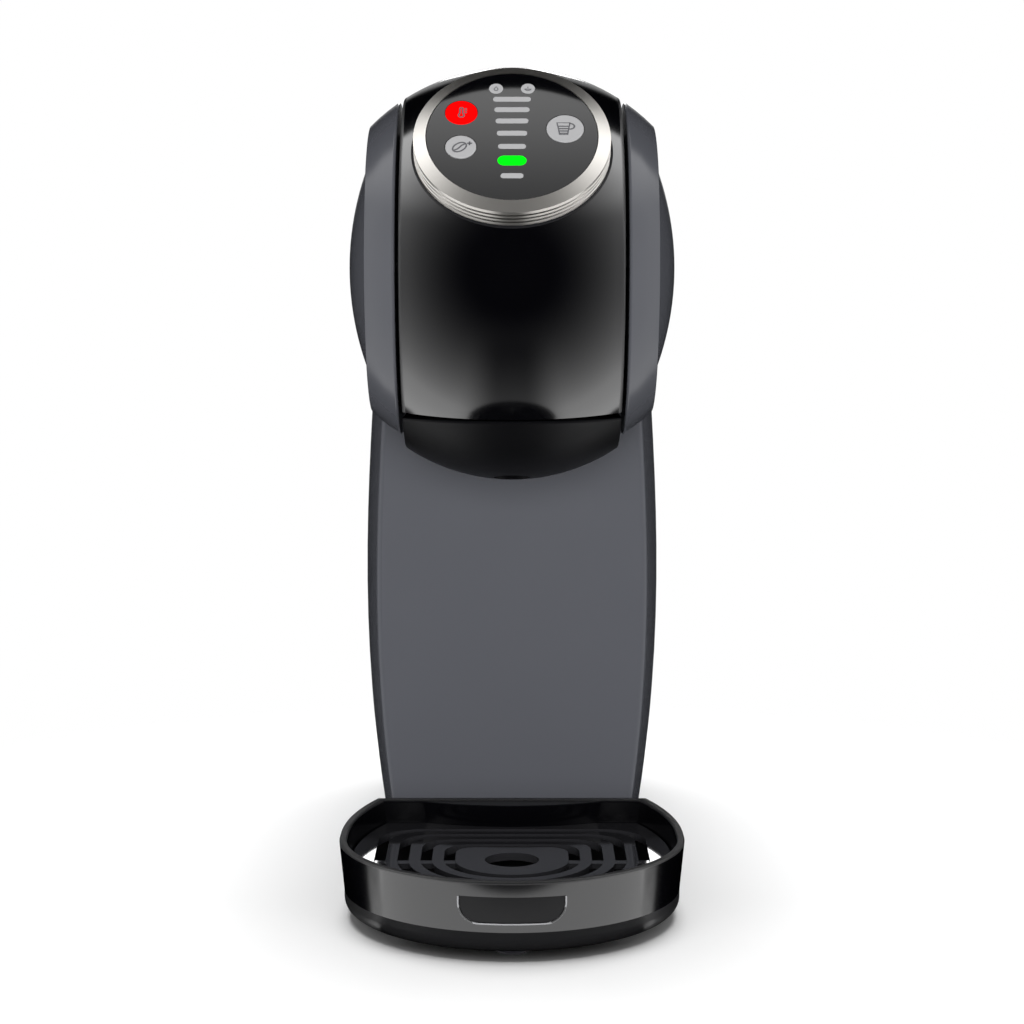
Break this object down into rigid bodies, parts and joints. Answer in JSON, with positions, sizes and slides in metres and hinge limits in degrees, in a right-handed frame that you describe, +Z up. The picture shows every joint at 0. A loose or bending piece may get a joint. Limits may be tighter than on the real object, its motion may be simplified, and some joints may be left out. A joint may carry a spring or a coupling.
{
  "type": "pod coffee machine",
  "caption": "Slim pod coffee machine: round head with lifting visor and dial, sliding pod holder, bowed column, drip tray with slotted grid and rear water tank.",
  "frame": {"origin": "middle of the footprint, on the worktop", "axes": "+Z up, front faces -Y, +X to the right seen from the front"},
  "size_m": [0.1138, 0.2789, 0.278],
  "materials": {
    "shell_plastic": "semi-gloss dark anthracite moulding",
    "inner_plastic": "fine matt black moulding",
    "black_gloss": "polished black",
    "satin_black": "satin black",
    "rubber": "matt black rubber",
    "steel": "turned steel",
    "pump_metal": "grey paint",
    "heater_metal": "cast aluminium",
    "board": "green circuit board",
    "pale_print": "pale grey translucent",
    "green_light": "lit green window",
    "red_light": "lit red key",
    "ring_metal": "satin metal",
    "smoke_clear": "smoked clear plastic"
  },
  "bodies": {
    "housing": {"base_plate": "inner_plastic", "base_feet": "rubber", "left_shell": "shell_plastic", "right_shell": "shell_plastic", "left_side_cap": "shell_plastic", "right_side_cap": "shell_plastic", "column_front": "shell_plastic", "rear_panel": "inner_plastic", "top_cover": "shell_plastic", "head_rear_cover": "inner_plastic", "brew_frame": "inner_plastic", "guide_rails": "inner_plastic", "guide_posts": "steel", "hinge_pins": "steel", "water_pump": "pump_metal", "pump_mount": "rubber", "heater_block": "heater_metal", "main_board": "board", "tank_coupling": "inner_plastic", "cord_gland": "rubber"},
    "visor": {"visor_shell": "black_gloss", "visor_frame": "inner_plastic", "dial_cup": "inner_plastic", "control_panel": "black_gloss", "panel_board": "board", "key_switches": "inner_plastic", "volume_bars": "pale_print", "active_bar": "green_light", "indicator_lights": "pale_print"},
    "ring": {"selector_ring": "ring_metal"},
    "temperature_key": {"temperature_key": "red_light"},
    "boost_key": {"boost_key": "pale_print"},
    "cup_key": {"cup_key": "pale_print"},
    "carriage": {"needle_carriage": "inner_plastic", "injection_needle": "steel", "needle_seal": "rubber"},
    "holder": {"capsule_holder": "satin_black", "holder_insert": "inner_plastic"},
    "tray": {"drip_tray": "satin_black", "tray_rim": "black_gloss", "front_plate": "black_gloss", "tray_feet": "rubber"},
    "grid": {"drip_grid": "black_gloss"},
    "tank": {"tank_shell": "smoke_clear", "tank_valve": "inner_plastic", "lid_pin": "steel"},
    "lid": {"tank_lid": "satin_black"}
  },
  "joints": [
    {"name": "visor_lift", "type": "hinge", "parent": "housing", "child": "visor", "pos_m": [0, -0.058, 0.212], "axis": [-1, 0, 0], "range_deg": [0, 48]},
    {"name": "ring_turn", "type": "hinge", "parent": "visor", "child": "ring", "pos_m": [0, -0.1075, 0.2541], "axis": [0, -0.7478, 0.6639], "continuous": true},
    {"name": "temperature_key_press", "type": "slide", "parent": "visor", "child": "temperature_key", "axis": [0, 0.7478, -0.6639], "range_m": [0, 0.0008], "stiffness_N_per_m": 400},
    {"name": "boost_key_press", "type": "slide", "parent": "visor", "child": "boost_key", "axis": [0, 0.7478, -0.6639], "range_m": [0, 0.0008], "stiffness_N_per_m": 400},
    {"name": "cup_key_press", "type": "slide", "parent": "visor", "child": "cup_key", "axis": [0, 0.7478, -0.6639], "range_m": [0, 0.0008], "stiffness_N_per_m": 400},
    {"name": "carriage_lift", "type": "slide", "parent": "housing", "child": "carriage", "axis": [0, 0, 1], "range_m": [0, 0.008]},
    {"name": "holder_slide", "type": "slide", "parent": "housing", "child": "holder", "axis": [0, -1, 0], "range_m": [0, 0.075]},
    {"name": "tray_slide", "type": "slide", "parent": "housing", "child": "tray", "axis": [0, -1, 0], "range_m": [0, 0.12]},
    {"name": "grid_lift", "type": "slide", "parent": "tray", "child": "grid", "axis": [0, 0, 1], "range_m": [0, 0.05]},
    {"name": "tank_lift", "type": "slide", "parent": "housing", "child": "tank", "axis": [0, 0, 1], "range_m": [0, 0.12]},
    {"name": "lid_hinge", "type": "hinge", "parent": "tank", "child": "lid", "pos_m": [0, 0.058, 0.2138], "axis": [1, 0, 0], "range_deg": [0, 95]}
  ],
  "couplings": [
    {"joint": "carriage_lift", "follows": "visor_lift", "m_per_rad": 0.0095492}
  ]
}
